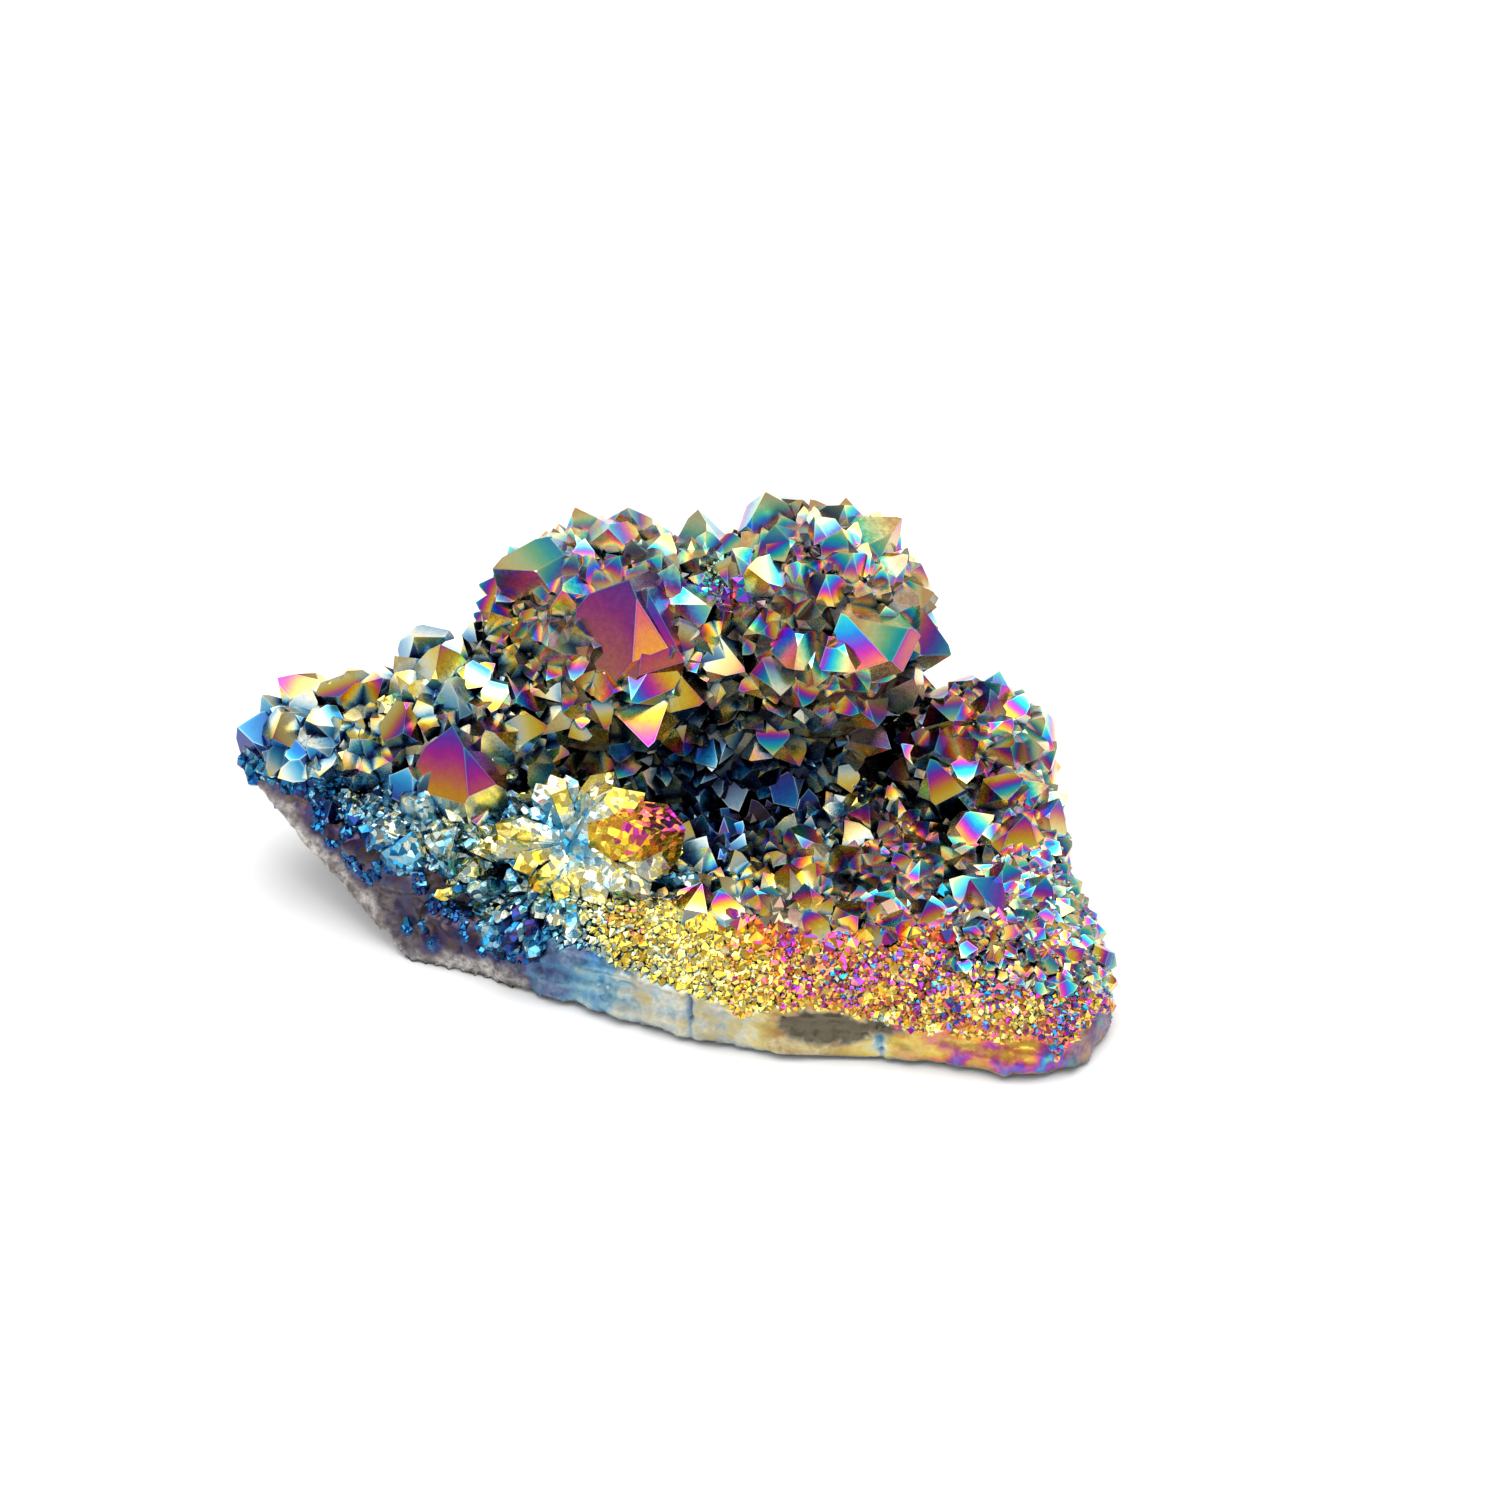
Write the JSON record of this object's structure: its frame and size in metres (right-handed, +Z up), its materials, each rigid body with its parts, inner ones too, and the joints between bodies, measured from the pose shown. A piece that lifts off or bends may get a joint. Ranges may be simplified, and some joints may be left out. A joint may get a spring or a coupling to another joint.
{
  "type": "titanium aura amethyst cluster",
  "caption": "Palm-sized cluster of pointed, metal-coated quartz crystals: a tall mound behind a dark basin, a low rim round it and a banded rock edge.",
  "frame": {"origin": "on the ground, under the middle of the cluster's box", "axes": "+X to the right seen from the front, along the long side; +Y away to the back, where the mound is; +Z up"},
  "size_m": [0.1184, 0.084, 0.0473],
  "materials": {
    "aura_quartz": "gloss"
  },
  "bodies": {
    "root": {"amethyst_cluster": "aura_quartz"}
  },
  "joints": []
}
